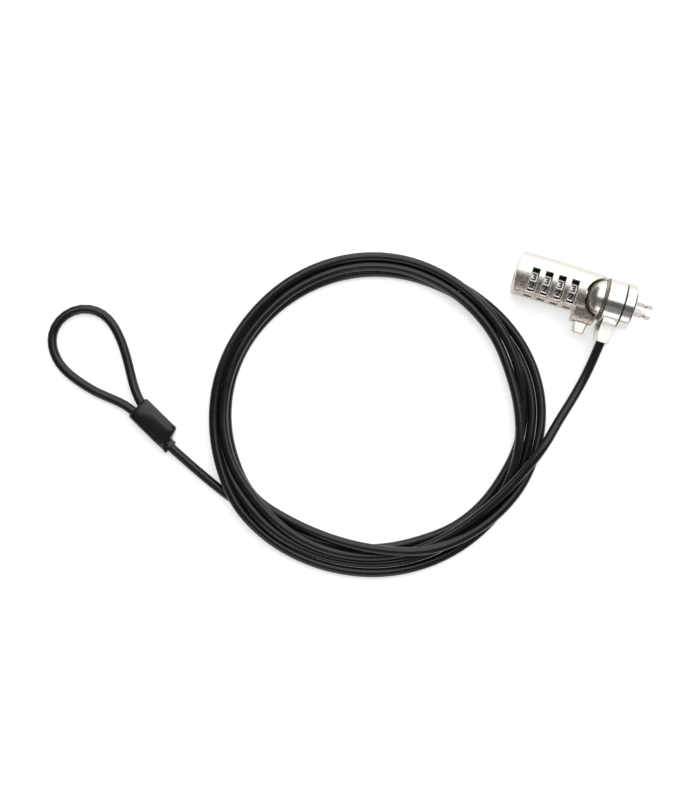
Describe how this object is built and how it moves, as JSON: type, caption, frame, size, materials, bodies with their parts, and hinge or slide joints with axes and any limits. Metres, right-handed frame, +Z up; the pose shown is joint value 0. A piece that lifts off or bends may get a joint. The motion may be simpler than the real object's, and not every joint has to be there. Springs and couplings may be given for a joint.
{
  "type": "laptop cable lock",
  "caption": "Combination cable lock for a laptop's security slot: a dial lock with a hooked tip on a swivelling head, and a coiled steel cable with a looped end.",
  "frame": {"origin": "on the flat underside of the lock's housing, under the axis of the head, 35 mm behind its front face", "axes": "+X along the lock towards its tip, +Z up out of the dials' side, +Y away from the button and the cable's exit"},
  "size_m": [0.2417, 0.1543, 0.0198],
  "materials": {
    "satin_nickel": "warm satin nickel plate with a fine matte grain, on a zinc casting",
    "polished_chrome": "bright polished plate on zinc and steel",
    "wheel_metal": "silver-grey wheel rim with black printed digits",
    "inner_steel": "plain hardened steel",
    "spring_steel": "spring steel",
    "brass": "plain turned brass",
    "vinyl_black": "smooth glossy black vinyl over a steel rope",
    "crimp_aluminium": "pressed aluminium"
  },
  "bodies": {
    "cable_end": {"swivel_collar": "polished_chrome", "cable_ferrule": "crimp_aluminium", "cable_lead": "vinyl_black", "cable_coil": "vinyl_black", "cable_tail": "vinyl_black", "cable_eye": "vinyl_black", "loop_sleeve": "vinyl_black", "loop_crimp": "crimp_aluminium"},
    "lock_body": {"housing": "satin_nickel", "base_cover": "satin_nickel", "cover_screw_1": "inner_steel", "cover_screw_2": "inner_steel", "dial_detent_spring": "spring_steel", "head_core": "polished_chrome", "friction_washer": "brass", "front_cap": "polished_chrome", "cap_pin": "inner_steel", "fixed_prong": "polished_chrome", "prong_rivet": "inner_steel", "hook_pivot_pin": "inner_steel", "bolt_spring": "spring_steel"},
    "button": {"release_button": "polished_chrome"},
    "bolt": {"bolt_yoke": "inner_steel", "spindle": "inner_steel", "locking_wedge": "inner_steel"},
    "hook": {"hook_arm": "polished_chrome"},
    "code_reset": {"code_reset_screw": "inner_steel"},
    "dial_1_body": {"dial_1": "wheel_metal", "dial_clutch_1": "brass"},
    "dial_2_body": {"dial_2": "wheel_metal", "dial_clutch_2": "brass"},
    "dial_3_body": {"dial_3": "wheel_metal", "dial_clutch_3": "brass"},
    "dial_4_body": {"dial_4": "wheel_metal", "dial_clutch_4": "brass"}
  },
  "joints": [
    {"name": "head_swivel", "type": "hinge", "parent": "cable_end", "child": "lock_body", "pos_m": [0.0264, 0, 0.0099], "axis": [1, 0, 0], "continuous": true},
    {"name": "dial_1_turn", "type": "hinge", "parent": "lock_body", "child": "dial_1_body", "pos_m": [-0.0085, -0.0012, 0.0092], "axis": [1, 0, 0], "continuous": true},
    {"name": "dial_2_turn", "type": "hinge", "parent": "lock_body", "child": "dial_2_body", "pos_m": [-0.0028, -0.0012, 0.0092], "axis": [1, 0, 0], "continuous": true},
    {"name": "dial_3_turn", "type": "hinge", "parent": "lock_body", "child": "dial_3_body", "pos_m": [0.0029, -0.0012, 0.0092], "axis": [1, 0, 0], "continuous": true},
    {"name": "dial_4_turn", "type": "hinge", "parent": "lock_body", "child": "dial_4_body", "pos_m": [0.0086, -0.0012, 0.0092], "axis": [1, 0, 0], "continuous": true},
    {"name": "bolt_slide", "type": "slide", "parent": "lock_body", "child": "bolt", "axis": [1, 0, 0], "range_m": [0, 0.0018], "stiffness_N_per_m": 200},
    {"name": "button_press", "type": "slide", "parent": "lock_body", "child": "button", "axis": [0, 1, 0], "range_m": [0, 0.0018]},
    {"name": "hook_spread", "type": "hinge", "parent": "lock_body", "child": "hook", "pos_m": [0.0263, 0.0025, 0.0099], "axis": [0, 0, 1], "range_deg": [0, 3.5]},
    {"name": "code_reset_turn", "type": "hinge", "parent": "lock_body", "child": "code_reset", "pos_m": [-0.0167, -0.0012, 0.0092], "axis": [1, 0, 0], "range_deg": [0, 90]}
  ],
  "couplings": [
    {"joint": "button_press", "follows": "bolt_slide", "ratio": 1},
    {"joint": "hook_spread", "follows": "bolt_slide", "rad_per_m": 33}
  ]
}
